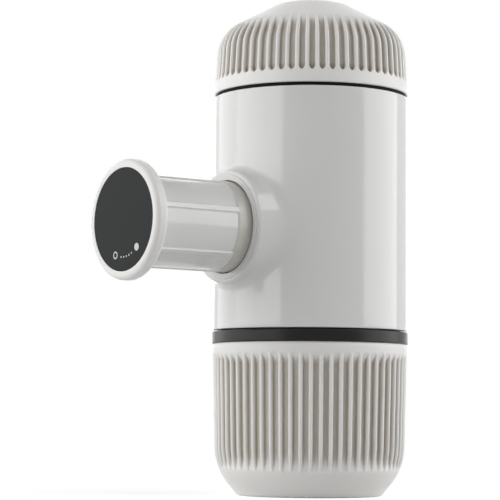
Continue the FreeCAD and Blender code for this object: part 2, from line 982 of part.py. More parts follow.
def filter_basket():
    """Deep basket with a rim to hang by and an inward ledge under its screen."""
    ledge_radius = basket_inner_radius - basket_ledge_width
    ledge_top = basket_bottom + basket_floor
    return turned(
        [
            (ledge_radius, basket_bottom),
            (basket_radius - basket_floor_chamfer, basket_bottom),
            (basket_radius, basket_bottom + basket_floor_chamfer),
            (basket_radius, basket_rim_bottom),
            (basket_rim_radius, basket_rim_bottom),
            (basket_rim_radius, basket_rim_top),
            (basket_inner_radius, basket_rim_top),
            (basket_inner_radius, ledge_top),
            (ledge_radius, ledge_top),
        ]
    )


def basket_screen():
    low = basket_bottom + basket_floor
    high = low + basket_screen_thickness
    disc = rod(basket_inner_radius - press_gap, low, high)
    return disc.cut(small_holes(hole_rings, hole_pitch, low - overcut, high + overcut))


def head_seal():
    return tube(
        head_inner_radius, neck_inner_radius - seat_gap, head_ledge, basket_rim_bottom
    )


def outlet_head():
    """Dark collar with a neck above it, a skirt that takes the cup and a funnel to the spout."""
    skirt_outer = cup_shoulder_radius - cup_wall - turn_gap
    skirt_inner = skirt_outer - head_wall
    skirt_bottom = collar_bottom - head_skirt_length
    chamber_outer = head_inner_radius + head_wall
    socket_inner = nozzle_flange_radius + press_gap
    socket_outer = socket_inner + nozzle_socket_wall
    socket_bottom = head_port_bottom - nozzle_flange_thickness
    return turned(
        [
            (head_port_radius, head_port_bottom),
            (socket_inner, head_port_bottom),
            (socket_inner, socket_bottom),
            (socket_outer, socket_bottom),
            (socket_outer, head_port_bottom),
            (chamber_outer, head_cone_top - head_cone_wall),
            (chamber_outer, collar_bottom),
            (skirt_inner, collar_bottom),
            (skirt_inner, skirt_bottom),
            (skirt_outer, skirt_bottom),
            (skirt_outer, collar_bottom),
            (body_radius, collar_bottom),
            (body_radius, collar_top),
            (neck_outer_radius, collar_top),
            (neck_outer_radius, head_neck_top),
            (neck_inner_radius, head_neck_top),
            (neck_inner_radius, head_ledge),
            (head_inner_radius, head_ledge),
            (head_inner_radius, head_cone_top),
            (head_port_radius, head_port_top),
        ]
    )


def spout_nozzle():
    """Spout pressed into the head's socket, with the chamber of the pressure valve above its bore."""
    flange_bottom = head_port_bottom - nozzle_flange_thickness
    chamber_floor = head_port_bottom - valve_chamber_depth
    tip = head_port_bottom - nozzle_length
    return turned(
        [
            (valve_chamber_radius, head_port_bottom),
            (nozzle_flange_radius, head_port_bottom),
            (nozzle_flange_radius, flange_bottom),
            (nozzle_radius, flange_bottom),
            (nozzle_radius, head_port_bottom - nozzle_taper_start),
            (nozzle_tip_radius, tip),
            (nozzle_bore_radius, tip),
            (nozzle_bore_radius, chamber_floor),
            (valve_chamber_radius, chamber_floor),
        ]
    )


def pressure_valve():
    high = head_port_bottom - running_gap
    low = high - pressure_valve_height
    return turned(
        [
            (0, low),
            (pressure_valve_radius, low),
            (pressure_valve_radius, high - pressure_valve_chamfer),
            (pressure_valve_radius - pressure_valve_chamfer, high),
            (0, high),
        ]
    )


def pressure_spring():
    high = head_port_bottom - running_gap * 2 - pressure_valve_height
    low = head_port_bottom - valve_chamber_depth
    return helix_spring(
        pressure_spring_radius, pressure_spring_wire, pressure_spring_turns, low, high
    )


sub_parts = [
    portable_cup,
    outlet_head,
    head_seal,
    filter_basket,
    basket_screen,
    pressure_valve,
    pressure_spring,
    spout_nozzle,
    main_housing,
    boss_bezel,
    guide_bush,
    lock_sleeve,
    piston_barrel,
    piston_knob,
    knob_disc,
    knob_screw,
    thrust_washer,
    plunger,
    plunger_rings,
    return_spring,
    pump_cylinder,
    cylinder_seal,
    valve_block,
    inlet_seat,
    inlet_poppet,
    inlet_spring,
    outlet_poppet,
    outlet_spring,
    outlet_plug,
    group_block,
    group_seal,
    shower_screen,
    screen_screw,
    frame_screws,
    tank_socket,
    intake_strainer,
    air_valve,
    tank_seal,
    water_tank,
]

os.makedirs("parts", exist_ok=True)
for make in sub_parts:
    solids = make().Solids
    shape = solids[0] if len(solids) == 1 else Part.makeCompound(solids)
    shape.exportStep(os.path.join("parts", make.__name__ + ".step"))
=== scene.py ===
import math

import bmesh
import bpy
from mathutils import Matrix, Vector


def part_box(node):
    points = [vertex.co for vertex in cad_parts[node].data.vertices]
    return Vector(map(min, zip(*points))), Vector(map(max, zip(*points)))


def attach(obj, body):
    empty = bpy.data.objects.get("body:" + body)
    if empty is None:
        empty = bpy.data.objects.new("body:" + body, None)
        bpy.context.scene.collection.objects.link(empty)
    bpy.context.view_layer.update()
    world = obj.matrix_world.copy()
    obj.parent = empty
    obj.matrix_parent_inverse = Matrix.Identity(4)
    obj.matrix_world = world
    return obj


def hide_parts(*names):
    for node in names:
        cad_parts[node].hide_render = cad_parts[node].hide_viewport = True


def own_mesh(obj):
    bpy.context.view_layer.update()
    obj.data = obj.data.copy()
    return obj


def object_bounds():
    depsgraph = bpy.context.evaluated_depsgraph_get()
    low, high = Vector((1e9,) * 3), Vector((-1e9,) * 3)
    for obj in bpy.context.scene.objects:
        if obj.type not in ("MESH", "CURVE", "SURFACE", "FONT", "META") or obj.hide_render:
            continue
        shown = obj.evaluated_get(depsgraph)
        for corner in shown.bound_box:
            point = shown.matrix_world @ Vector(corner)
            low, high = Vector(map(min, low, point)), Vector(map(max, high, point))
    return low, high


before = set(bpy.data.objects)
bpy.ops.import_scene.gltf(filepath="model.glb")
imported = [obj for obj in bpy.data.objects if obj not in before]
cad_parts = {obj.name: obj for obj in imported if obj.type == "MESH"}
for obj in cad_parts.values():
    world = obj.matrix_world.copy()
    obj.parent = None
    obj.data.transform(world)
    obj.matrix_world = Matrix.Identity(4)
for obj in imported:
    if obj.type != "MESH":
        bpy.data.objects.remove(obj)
cad_low, cad_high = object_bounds()
mm = 0.001

# Camera
# A long lens a little above the table, turned so that the pump points left and towards the viewer.
# It looks slightly up, as the top and the foot of the object lean in the photograph.
camera_azimuth = math.radians(52.5)
camera_pitch = math.radians(4.52)
camera_roll = math.radians(0.42)
camera_distance = 650.7 * mm
camera_height = 26.1 * mm
camera_side = -19.21 * mm
camera_right = Vector((math.cos(camera_azimuth), math.sin(camera_azimuth), 0))
camera_back = Vector((math.sin(camera_azimuth), -math.cos(camera_azimuth), 0))
lens = bpy.data.cameras.new("photo_lens")
lens.sensor_width = 36
lens.lens = 147.5
lens.clip_start = 0.05
camera = bpy.data.objects.new("photo_camera", lens)
bpy.context.scene.collection.objects.link(camera)
camera_turn = Matrix.Rotation(camera_azimuth, 4, "Z")
camera_turn = camera_turn @ Matrix.Rotation(math.pi / 2 + camera_pitch, 4, "X")
camera_turn = camera_turn @ Matrix.Rotation(camera_roll, 4, "Z")
camera_place = camera_right * camera_side + camera_back * camera_distance + Vector((0, 0, camera_height))
camera.matrix_world = Matrix.Translation(camera_place) @ camera_turn
bpy.context.scene.camera = camera
bpy.context.scene.view_settings.view_transform = "Standard"


# White sweep and soft lamps
# The photograph is a cut-out on white, so the table and the far wall are white to the camera.
# The table stays a real matt surface, so the foot keeps its soft shadow.
srgb_toe = 0.04045
srgb_toe_slope = 12.92
srgb_offset = 0.055
srgb_power = 2.4
full_channel = 255


def linear(hex_colour):
    """An sRGB hex colour as linear light, by the standard's own curve, with an alpha of one."""
    channels = [value / full_channel for value in bytes.fromhex(hex_colour)]
    lit = [c / srgb_toe_slope if c <= srgb_toe else ((c + srgb_offset) / (1 + srgb_offset)) ** srgb_power
           for c in channels]
    return (*lit, 1.0)


def add_node(tree, kind, settings, inputs):
    """Adds a node. Each input is a value for its socket, or another node's socket to link."""
    node = tree.nodes.new(kind)
    for name, value in settings.items():
        setattr(node, name, value)
    for name, value in inputs.items():
        if isinstance(value, bpy.types.NodeSocket):
            tree.links.new(value, node.inputs[name])
        else:
            node.inputs[name].default_value = value
    return node


def new_tree(name):
    """A material by name and its empty node tree."""
    material = bpy.data.materials.new(name)
    material.use_nodes = True
    material.node_tree.nodes.clear()
    return material, material.node_tree


def seen_share(tree):
    """One for what the eye sees straight, mirrored or through glass, and nought for bounced light."""
    path = add_node(tree, "ShaderNodeLightPath", {}, {})
    clear = add_node(tree, "ShaderNodeMath", {"operation": "MAXIMUM"},
                     {0: path.outputs["Is Glossy Ray"], 1: path.outputs["Is Transmission Ray"]})
    seen = add_node(tree, "ShaderNodeMath", {"operation": "MAXIMUM"},
                    {0: path.outputs["Is Camera Ray"], 1: clear.outputs[0]})
    return seen.outputs[0]


world = bpy.data.worlds.new("light_tent")
bpy.context.scene.world = world
world.use_nodes = True
world.node_tree.nodes.clear()
tent = world.node_tree
tent_level = 0.07
tent_seen = seen_share(tent)
tent_fill = add_node(tent, "ShaderNodeBackground", {}, {"Color": linear("FFFFFF"), "Strength": tent_level})
tent_white = add_node(tent, "ShaderNodeBackground", {}, {"Color": linear("FFFFFF"), "Strength": 1.0})
tent_mix = add_node(tent, "ShaderNodeMixShader", {},
                    {0: tent_seen, 1: tent_fill.outputs[0], 2: tent_white.outputs[0]})
add_node(tent, "ShaderNodeOutputWorld", {}, {"Surface": tent_mix.outputs[0]})

sweep_half = 2.0
sweep_mesh = bpy.data.meshes.new("white_table")
sweep_corners = [(x * sweep_half, y * sweep_half, 0) for x, y in ((-1, -1), (1, -1), (1, 1), (-1, 1))]
sweep_mesh.from_pydata(sweep_corners, [], [(0, 1, 2, 3)])
sweep = bpy.data.objects.new("white_table", sweep_mesh)
bpy.context.scene.collection.objects.link(sweep)
table_material, table = new_tree("matt_white_board")
table_seen = seen_share(table)
table_diffuse = add_node(table, "ShaderNodeBsdfDiffuse", {}, {"Color": linear("F4F4F4")})
table_bounce = add_node(table, "ShaderNodeBsdfDiffuse", {}, {"Color": linear("E2E2E2")})
table_lift = add_node(table, "ShaderNodeEmission", {}, {"Color": linear("FFFFFF"), "Strength": 0.45})
table_near = add_node(table, "ShaderNodeAddShader", {},
                      {0: table_diffuse.outputs[0], 1: table_lift.outputs[0]})
table_white = add_node(table, "ShaderNodeEmission", {}, {"Color": linear("FFFFFF"), "Strength": 1.0})
table_place = add_node(table, "ShaderNodeTexCoord", {}, {})
table_radius = add_node(table, "ShaderNodeVectorMath", {"operation": "LENGTH"},
                        {0: table_place.outputs["Object"]})
table_far = add_node(table, "ShaderNodeMapRange", {"interpolation_type": "SMOOTHSTEP"},
                     {"Value": table_radius.outputs["Value"], "From Min": 40 * mm, "From Max": 110 * mm})
table_view = add_node(table, "ShaderNodeMixShader", {},
                      {0: table_far.outputs["Result"], 1: table_near.outputs[0], 2: table_white.outputs[0]})
table_mix = add_node(table, "ShaderNodeMixShader", {},
                     {0: table_seen, 1: table_bounce.outputs[0], 2: table_view.outputs[0]})
add_node(table, "ShaderNodeOutputMaterial", {}, {"Surface": table_mix.outputs[0]})
sweep_mesh.materials.append(table_material)

aim = Vector((0, 0, (cad_low.z + cad_high.z) / 2))


def softbox(name, turn, rise, distance, width, height, brightness):
    """A soft lamp round the object, turned from the camera's side in degrees and aimed at the middle."""
    azimuth = camera_azimuth + math.radians(turn)
    lift = math.radians(rise)
    away = Vector((math.sin(azimuth) * math.cos(lift), -math.cos(azimuth) * math.cos(lift), math.sin(lift)))
    lamp = bpy.data.lights.new(name, "AREA")
    lamp.shape = "RECTANGLE"
    lamp.size = width
    lamp.size_y = height
    lamp.energy = brightness * math.pi * width * height
    holder = bpy.data.objects.new(name, lamp)
    bpy.context.scene.collection.objects.link(holder)
    holder.location = aim + away * distance
    holder.rotation_mode = "QUATERNION"
    holder.rotation_quaternion = (-away).to_track_quat("-Z", "Y")
    return holder


# Each lamp has its turn and rise in degrees, then its distance, width, height and brightness.
softbox("left_softbox", -66, 8, 1.2, 1.44, 1.5, 2.24)
softbox("left_rear", -118, 8, 1.2, 0.97, 1.5, 1.16)
softbox("right_softbox", 91, 5, 1.0, 1.07, 1.5, 2.23)
softbox("right_high", 60, 42, 1.2, 0.6, 0.6, 2.34)
softbox("top_softbox", -10, 78, 1.1, 1.0, 0.8, 0.18)
softbox("back_softbox", 178, 15, 1.4, 1.4, 1.2, 1.0)


# Main housing
# The outer shell is one glossy injection moulding in ABS: a tube with a flared boss for the pump.
# The boss runs into the tube with a fillet that is small above and below and wide at its sides.
round_steps = 8
crease_angle = math.radians(35)


def bevel(corners, steps=round_steps):
    """Points of a profile whose corners are (radius, height) or (radius, height, round)."""
    points = []
    count = len(corners)
    for i, corner in enumerate(corners):
        here = Vector(corner[:2])
        size = corner[2] if len(corner) > 2 else 0
        if not size:
            points.append(tuple(here))
            continue
        before = (Vector(corners[i - 1][:2]) - here).normalized()
        after = (Vector(corners[(i + 1) % count][:2]) - here).normalized()
        half = before.angle(after) / 2
        setback = size / math.tan(half)
        centre = here + (before + after).normalized() * (size / math.sin(half))
        start = here + before * setback - centre
        end = here + after * setback - centre
        sweep_angle = math.pi - 2 * half
        for k in range(steps + 1):
            along = sweep_angle * k / steps
            share = math.sin(along) / math.sin(sweep_angle)
            rest = math.sin(sweep_angle - along) / math.sin(sweep_angle)
            points.append(tuple(centre + start * rest + end * share))
    return points


def finish_mesh(name, mesh_maker, material):
    """Turns a bmesh into a smooth object whose real corners stay crisp."""
    bmesh.ops.recalc_face_normals(mesh_maker, faces=mesh_maker.faces)
    mesh = bpy.data.meshes.new(name)
    mesh_maker.to_mesh(mesh)
    mesh_maker.free()
    for polygon in mesh.polygons:
        polygon.use_smooth = True
    mesh.set_sharp_from_angle(angle=crease_angle)
    mesh.materials.append(material)
    piece = bpy.data.objects.new(name, mesh)
    bpy.context.scene.collection.objects.link(piece)
    weighted = piece.modifiers.new("even_shading", "WEIGHTED_NORMAL")
    weighted.keep_sharp = True
    return piece


housing_low, housing_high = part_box("main_housing")
knob_low, knob_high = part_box("piston_knob")
bezel_low, bezel_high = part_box("boss_bezel")
pump_height = (knob_low.z + knob_high.z) / 2
body_radius = housing_high.x
body_wall = 2.4 * mm
body_edge = 0.4 * mm
boss_reach = -housing_low.y
boss_radius = 17.5 * mm
boss_draft = math.radians(10)
boss_edge_round = 0.8 * mm
boss_blend_side = 8.0 * mm
boss_blend_ends = 2.2 * mm
bezel_clearance = 0.02 * mm
bore_radius = bezel_high.x + bezel_clearance
bezel_seat = -bezel_high.y
patch_half_width = 33.0 * mm
patch_half_height = 28.5 * mm
patch_cells = 24
patch_rings = 8
round_cells = 120
rows_below = 2
rows_above = 8
back_rings = 3
edge_steps = 8
fillet_steps = 12
# The fillet's foot on the tube is searched for by thirds, and its place on the boss by halves.
search_edge = 0.999
least_cosine = 0.01
third_rounds = 45
halving_rounds = 30


def body_reach(radius, angle):
    """How far forward the plain tube lies at a place round the pump's axis."""
    return math.sqrt(body_radius ** 2 - (radius * math.cos(angle)) ** 2)


def nearest_on_body(centre, angle):
    """The point of the tube's outline nearest to a fillet's centre, in the plane through the pump's axis."""
    side = max(abs(math.cos(angle)), least_cosine)
    low, high = 0, min(search_edge * body_radius / side, 2 * body_radius)
    for _ in range(third_rounds):
        third = (high - low) / 3
        near, far = low + third, high - third
        near_gap = (Vector((near, body_reach(near, angle))) - centre).length
        if near_gap < (Vector((far, body_reach(far, angle))) - centre).length:
            high = far
        else:
            low = near
    return Vector((low, body_reach(low, angle)))


def boss_profile(angle):
    """The boss from its bore to its foot at one place round the pump, as (radius, reach) points."""
    size = boss_blend_ends + (boss_blend_side - boss_blend_ends) * math.cos(angle) ** 2
    setback = boss_edge_round * math.tan((math.pi / 2 - boss_draft) / 2)
    edge_centre = Vector((boss_radius - setback, boss_reach - boss_edge_round))

    def fillet_centre(turn, along):
        """The fillet's centre, if it leaves the edge's round at a turn, that far down the boss's side."""
        outward = Vector((math.cos(turn), math.sin(turn)))
        down = Vector((outward.y, -outward.x))
        return edge_centre + outward * (boss_edge_round + size) + down * along

    def room(turn, along):
        """The gap between the fillet and the tube, which is negative where the fillet would cut in."""
        centre = fillet_centre(turn, along)
        foot = nearest_on_body(centre, angle)
        return (foot - centre).length - size if centre.y > foot.y else -size

    turn, along = boss_draft, 0
    if room(turn, along) < 0:
        low, high = boss_draft, math.pi / 2
        for _ in range(halving_rounds):
            turn = (low + high) / 2
            if room(turn, along) < 0:
                low = turn
            else:
                high = turn
    else:
        low, high = 0, boss_reach
        for _ in range(halving_rounds):
            along = (low + high) / 2
            if room(turn, along) < 0:
                high = along
            else:
                low = along
    centre = fillet_centre(turn, along)
    foot = nearest_on_body(centre, angle) - centre
    end_turn = math.atan2(foot.y, foot.x) % (2 * math.pi)
    points = [(bore_radius, bezel_seat), (bore_radius, boss_reach)]
    for k in range(edge_steps + 1):
        at = math.pi / 2 + (turn - math.pi / 2) * k / edge_steps
        points.append((edge_centre.x + boss_edge_round * math.cos(at),
                       edge_centre.y + boss_edge_round * math.sin(at)))
    for k in range(fillet_steps + 1):
        at = turn + math.pi + (end_turn - turn - math.pi) * k / fillet_steps
        points.append((centre.x + size * math.cos(at), centre.y + size * math.sin(at)))
    return points


def spaced(low, high, count):
    """Evenly spaced values from low to high, without high itself."""
    return [low + (high - low) * k / count for k in range(count)]


patch_turn = patch_half_width / body_radius
inner_radius = body_radius - body_wall
turns = spaced(-patch_turn, patch_turn, patch_cells)
turns += spaced(patch_turn, 2 * math.pi - patch_turn, round_cells)
patch_low = pump_height - patch_half_height
patch_high = pump_height + patch_half_height
# The middle of a rounded edge lies this far inside its sharp corner, each way.
edge_middle = body_edge * 0.29
outer_rows = [(body_radius - body_edge, housing_low.z),
              (body_radius - edge_middle, housing_low.z + edge_middle)]
outer_rows += [(body_radius, z) for z in spaced(housing_low.z + body_edge, patch_low, rows_below)]
outer_hole = len(outer_rows)
outer_rows += [(body_radius, z) for z in spaced(patch_low, patch_high, patch_cells)]
outer_rows += [(body_radius, z) for z in spaced(patch_high, housing_high.z - body_edge, rows_above)]
outer_rows += [(body_radius, housing_high.z - body_edge),
               (body_radius - edge_middle, housing_high.z - edge_middle),
               (body_radius - body_edge, housing_high.z)]
inner_rows = [(inner_radius, housing_high.z)]
inner_hole = len(outer_rows) + len(inner_rows)
inner_rows += [(inner_radius, z) for z in spaced(patch_high, patch_low, patch_cells)]
inner_rows += [(inner_radius, patch_low), (inner_radius, housing_low.z)]
shell_rows = outer_rows + inner_rows
shell = bmesh.new()
shell_grid = [[shell.verts.new((r * math.sin(t), -r * math.cos(t), z)) for t in turns] for r, z in shell_rows]
row_count = len(shell_rows)
column_count = len(turns)
for i in range(row_count):
    in_patch = outer_hole <= i < outer_hole + patch_cells or inner_hole <= i < inner_hole + patch_cells
    for j in range(column_count):
        if in_patch and j < patch_cells:
            continue
        k, m = (i + 1) % row_count, (j + 1) % column_count
        shell.faces.new((shell_grid[i][j], shell_grid[i][m], shell_grid[k][m], shell_grid[k][j]))


def patch_border(first_row):
    """The grid's vertices round the opening that is left for the boss, in order."""
    n = patch_cells
    steps = [(0, j) for j in range(n)] + [(i, n) for i in range(n)]
    steps += [(n, n - j) for j in range(n)] + [(n - i, 0) for i in range(n)]
    return [shell_grid[first_row + i][j] for i, j in steps]


def border_angle(vertex):
    """The place of a vertex round the pump's axis."""
    return math.atan2(vertex.co.z - pump_height, vertex.co.x)


def on_tube(radius, x, z):
    """A point on the front of a tube about the upright axis."""
    return (x, -math.sqrt(radius ** 2 - x ** 2), z)


outer_border = patch_border(outer_hole)
inner_border = patch_border(inner_hole)
# Each vertex of the outer opening is paired with the inner one at the same turn and height.
inner_border = [min(inner_border, key=lambda v: (v.co.x / inner_radius - b.co.x / body_radius) ** 2
                    + ((v.co.z - b.co.z) / body_radius) ** 2) for b in outer_border]
boss_rings = []
for outer_end, inner_end in zip(outer_border, inner_border):
    angle = border_angle(outer_end)
    strip = [shell.verts.new((r * math.cos(angle), -reach, pump_height + r * math.sin(angle)))
             for r, reach in boss_profile(angle)]
    foot_co = strip[-1].co
    foot_turn = math.asin(foot_co.x / body_radius)
    end_turn = math.asin(outer_end.co.x / body_radius)
    for k in range(1, patch_rings):
        share = k / patch_rings
        turn = foot_turn + (end_turn - foot_turn) * share
        z = foot_co.z + (outer_end.co.z - foot_co.z) * share
        strip.append(shell.verts.new((body_radius * math.sin(turn), -body_radius * math.cos(turn), z)))
    strip.append(outer_end)
    bore_x = bore_radius * math.cos(angle)
    bore_z = pump_height + bore_radius * math.sin(angle)
    back = []
    for k in range(back_rings):
        share = k / back_rings
        x = bore_x + (inner_end.co.x - bore_x) * share
        z = bore_z + (inner_end.co.z - bore_z) * share
        back.append(shell.verts.new(on_tube(inner_radius, x, z)))
    back.append(inner_end)
    boss_rings.append(back[::-1] + strip)
for index, strip in enumerate(boss_rings):
    other = boss_rings[(index + 1) % len(boss_rings)]
    for k in range(len(strip) - 1):
        corners = []
        for vertex in (strip[k], strip[k + 1], other[k + 1], other[k]):
            if vertex not in corners:
                corners.append(vertex)
        if len(corners) > 2:
            shell.faces.new(corners)
bmesh.ops.delete(shell, geom=[v for v in shell.verts if not v.link_faces], context="VERTS")

# Polished ABS has a clear, hard-edged reflection with only the faintest waviness from the mould.
gloss_material, gloss = new_tree("polished_white_abs")
gloss_place = add_node(gloss, "ShaderNodeTexCoord", {}, {})
flow_size = 18 * mm
gloss_flow = add_node(gloss, "ShaderNodeTexNoise", {},
                      {"Vector": gloss_place.outputs["Object"], "Scale": 1 / flow_size, "Detail": 2.0})
gloss_rough = add_node(gloss, "ShaderNodeMapRange", {},
                       {"Value": gloss_flow.outputs["Fac"], "To Min": 0.10, "To Max": 0.15})
gloss_tint = add_node(gloss, "ShaderNodeMix", {"data_type": "RGBA"},
                      {"Factor": gloss_flow.outputs["Fac"], 6: linear("E2E2E1"), 7: linear("DEDEDC")})
gloss_bump = add_node(gloss, "ShaderNodeBump", {},
                      {"Height": gloss_flow.outputs["Fac"], "Distance": 0.05 * mm, "Strength": 0.25})
gloss_shader = add_node(gloss, "ShaderNodeBsdfPrincipled", {},
                        {"Base Color": gloss_tint.outputs[2], "Roughness": gloss_rough.outputs["Result"],
                         "IOR": 1.52, "Normal": gloss_bump.outputs["Normal"]})
add_node(gloss, "ShaderNodeOutputMaterial", {}, {"Surface": gloss_shader.outputs[0]})

housing = finish_mesh("housing_shell", shell, gloss_material)
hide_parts("main_housing")
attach(housing, "housing")


# Boss bezel
# A narrow ring of the same polished ABS, pressed into the front of the boss round the piston.
# Both of its front edges have a small round, so that it reads as a separate ring.
def turned_mesh(name, rows, columns, material, place=None, form=None):
    """Turns a closed profile of (radius, height) rows about the Z axis. A row on the axis is one point."""
    maker = bmesh.new()
    angles = columns if isinstance(columns, list) else spaced(0, 2 * math.pi, columns)
    rings = []
    for index, row in enumerate(rows):
        ring = []
        for angle in angles if row[0] > 0 else [0]:
            radius, height = form(index, angle) if form else row[:2]
            point = Vector((radius * math.cos(angle), radius * math.sin(angle), height))
            ring.append(maker.verts.new(place @ point if place else point))
        rings.append(ring)
    loop = list(zip(rings, rings[1:]))
    if rows[0][0] > 0:
        loop.append((rings[-1], rings[0]))
    for lower, upper in loop:
        for j in range(len(angles)):
            k = (j + 1) % len(angles)
            corners = []
            for ring, at in ((lower, j), (lower, k), (upper, k), (upper, j)):
                vertex = ring[at % len(ring)]
                if vertex not in corners:
                    corners.append(vertex)
            if len(corners) > 2:
                maker.faces.new(corners)
    return finish_mesh(name, maker, material)


on_pump = Matrix.Translation((0, 0, pump_height)) @ Matrix.Rotation(math.pi / 2, 4, "X")
turn_steps = 192

# Spark-eroded ABS is satin, with a fine even grain that is drawn about twice its real size to show.
# Narrow hollows, such as the floors of the grip grooves, have painted shade: an occlusion mask darkens and
# warms their colour.
satin_material, satin = new_tree("satin_white_abs")
satin_place = add_node(satin, "ShaderNodeTexCoord", {}, {})
grain_size = 0.5 * mm
cloud_size = 14 * mm
satin_grain = add_node(satin, "ShaderNodeTexNoise", {},
                       {"Vector": satin_place.outputs["Object"], "Scale": 1 / grain_size, "Detail": 3.0})
satin_cloud = add_node(satin, "ShaderNodeTexNoise", {},
                       {"Vector": satin_place.outputs["Object"], "Scale": 1 / cloud_size, "Detail": 2.0})
satin_tint = add_node(satin, "ShaderNodeMix", {"data_type": "RGBA"},
                      {"Factor": satin_cloud.outputs["Fac"], 6: linear("EFEEEC"), 7: linear("EBEAE7")})
# Painted shade: where the occlusion is deep, the colour is mixed towards a darker, warmer brown.
satin_hollow = add_node(satin, "ShaderNodeAmbientOcclusion", {"samples": 16, "only_local": True},
                         {"Distance": 2.0 * mm})
satin_shade_mask = add_node(satin, "ShaderNodeMapRange", {}, {"Value": satin_hollow.outputs["AO"],
                                                        "From Min": 0.42, "From Max": 0.86})
satin_painted_shade = add_node(satin, "ShaderNodeMix", {"data_type": "RGBA"},
                      {"Factor": satin_shade_mask.outputs["Result"], 6: linear("A3957E"), 7: satin_tint.outputs[2]})
satin_rough = add_node(satin, "ShaderNodeMapRange", {},
                       {"Value": satin_grain.outputs["Fac"], "To Min": 0.38, "To Max": 0.52})
satin_bump = add_node(satin, "ShaderNodeBump", {},
                      {"Height": satin_grain.outputs["Fac"], "Distance": 0.02 * mm, "Strength": 0.35})
satin_shader = add_node(satin, "ShaderNodeBsdfPrincipled", {},
                        {"Base Color": satin_painted_shade.outputs[2], "Roughness": satin_rough.outputs["Result"],
                         "IOR": 1.5, "Normal": satin_bump.outputs["Normal"]})
add_node(satin, "ShaderNodeOutputMaterial", {}, {"Surface": satin_shader.outputs[0]})

bezel_inner = 14.4 * mm
bezel_round = 0.25 * mm
bezel_round_steps = 4
bezel_front = -bezel_low.y
bezel_rows = bevel([
    (bezel_inner, bezel_seat), (bezel_high.x, bezel_seat), (bezel_high.x, bezel_front, bezel_round),
    (bezel_inner, bezel_front, bezel_round),
], bezel_round_steps)
bezel = turned_mesh("bezel_ring", bezel_rows, turn_steps, gloss_material, on_pump)
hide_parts("boss_bezel")
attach(bezel, "housing")

# Piston barrel
# The barrel is a polished ABS tube that slides out of the boss.
# Six wide panels are let into it lengthwise, so that six narrow ribs stand between them.
barrel_low, barrel_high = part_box("piston_barrel")
barrel_radius = 14.1 * mm
barrel_wall = 1.8 * mm
barrel_front = -barrel_low.y
barrel_back = -barrel_high.y
panel_depth = 0.45 * mm
panel_middle = math.radians(-13)
panel_half = math.radians(26.25)
panel_step = math.radians(1.6)
panel_count = 6
panel_land = 4.5 * mm
panel_start = bezel_front + panel_land
lug_radius = 15.2 * mm
lug_length = 2.6 * mm
lug_half = math.radians(18)
lug_count = 3
lug_rows = (1, 2)
panel_rows = (5, 6)
barrel_steps = 360


def soft(share):
    """Nought to one along a cubic with a soft start and a soft end."""
    share = min(max(share, 0), 1)
    return share * share * (3 - 2 * share)


def panel_share(angle):
    """One inside a panel, nought between panels, and a soft step whose middle is on the panel's edge."""
    pitch = 2 * math.pi / panel_count
    off = abs((angle - panel_middle + pitch / 2) % pitch - pitch / 2)
    return soft((panel_half - off) / panel_step + 0.5)


def near_lug(angle):
    """Whether a place round the barrel is on one of its bayonet lugs."""
    pitch = 2 * math.pi / lug_count
    return abs((angle + pitch / 2) % pitch - pitch / 2) < lug_half


barrel_rows = [
    (barrel_radius - barrel_wall, barrel_back), (barrel_radius, barrel_back),
    (barrel_radius, barrel_back + lug_length), (barrel_radius, barrel_back + lug_length),
    (barrel_radius, panel_start), (barrel_radius, panel_start + panel_depth),
    (barrel_radius, barrel_front), (barrel_radius - barrel_wall, barrel_front),
]


def barrel_form(index, angle):
    """A row of the barrel with its lugs standing out and its panels let in."""
    radius, height = barrel_rows[index]
    if index in lug_rows and near_lug(angle):
        radius = lug_radius
    if index in panel_rows:
        radius -= panel_depth * panel_share(angle)
    return radius, height


barrel = turned_mesh("barrel_tube", barrel_rows, barrel_steps, gloss_material, on_pump, barrel_form)

# The stretch behind the panels runs in the bush and has a duller finish; its darker, warmer grey is painted
# shade.
land_shade_material, land_shade = new_tree("white_abs_land_with_painted_shade")
land_place = add_node(land_shade, "ShaderNodeTexCoord", {}, {})
land_streak_size = 2 * mm
land_streak = add_node(land_shade, "ShaderNodeTexNoise", {},
                         {"Vector": land_place.outputs["Object"], "Scale": 1 / land_streak_size, "Detail": 3.0})
# Painted shade: the land's grey is darker and warmer than the open gloss, with random streaks.
land_painted_shade = add_node(land_shade, "ShaderNodeMix", {"data_type": "RGBA"},
                       {"Factor": land_streak.outputs["Fac"], 6: linear("C3BFB7"), 7: linear("D0CDC6")})
land_shader = add_node(land_shade, "ShaderNodeBsdfPrincipled", {},
                         {"Base Color": land_painted_shade.outputs[2], "Roughness": 0.28, "IOR": 1.52})
add_node(land_shade, "ShaderNodeOutputMaterial", {}, {"Surface": land_shader.outputs[0]})
barrel.data.materials.append(land_shade_material)
for face in barrel.data.polygons:
    if -face.center.y < panel_start:
        face.material_index = 1
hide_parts("piston_barrel")
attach(barrel, "knob")

# Piston knob
# The cap is a satin ABS moulding with a soft rim all round, pushed into the barrel on a spigot.
# A shallow recess in its face takes the dark disc, and a screw under the disc holds the cap.
knob_radius = knob_high.x
knob_front = -knob_low.y
knob_thickness = 4.0 * mm
knob_back = knob_front - knob_thickness
disc_radius = 15.55 * mm
disc_depth = 1.0 * mm
recess_floor = knob_front - disc_depth
recess_round = 0.15 * mm
rim_front_round = 1.5 * mm
rim_back_round = 1.1 * mm
spigot_clearance = 0.02 * mm
spigot_radius = barrel_radius - barrel_wall - spigot_clearance
spigot_back = -knob_high.y
screw_bore = 2.05 * mm
screw_seat_radius = 4.8 * mm
screw_seat = spigot_back + 3 * mm
knob_rows = bevel([
    (screw_bore, spigot_back), (spigot_radius, spigot_back), (spigot_radius, knob_back),
    (knob_radius, knob_back, rim_back_round), (knob_radius, knob_front, rim_front_round),
    (disc_radius, knob_front, recess_round), (disc_radius, recess_floor),
    (screw_seat_radius, recess_floor), (screw_seat_radius, screw_seat), (screw_bore, screw_seat),
])
knob = turned_mesh("knob_cap", knob_rows, turn_steps, satin_material, on_pump)
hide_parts("piston_knob")
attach(knob, "knob")

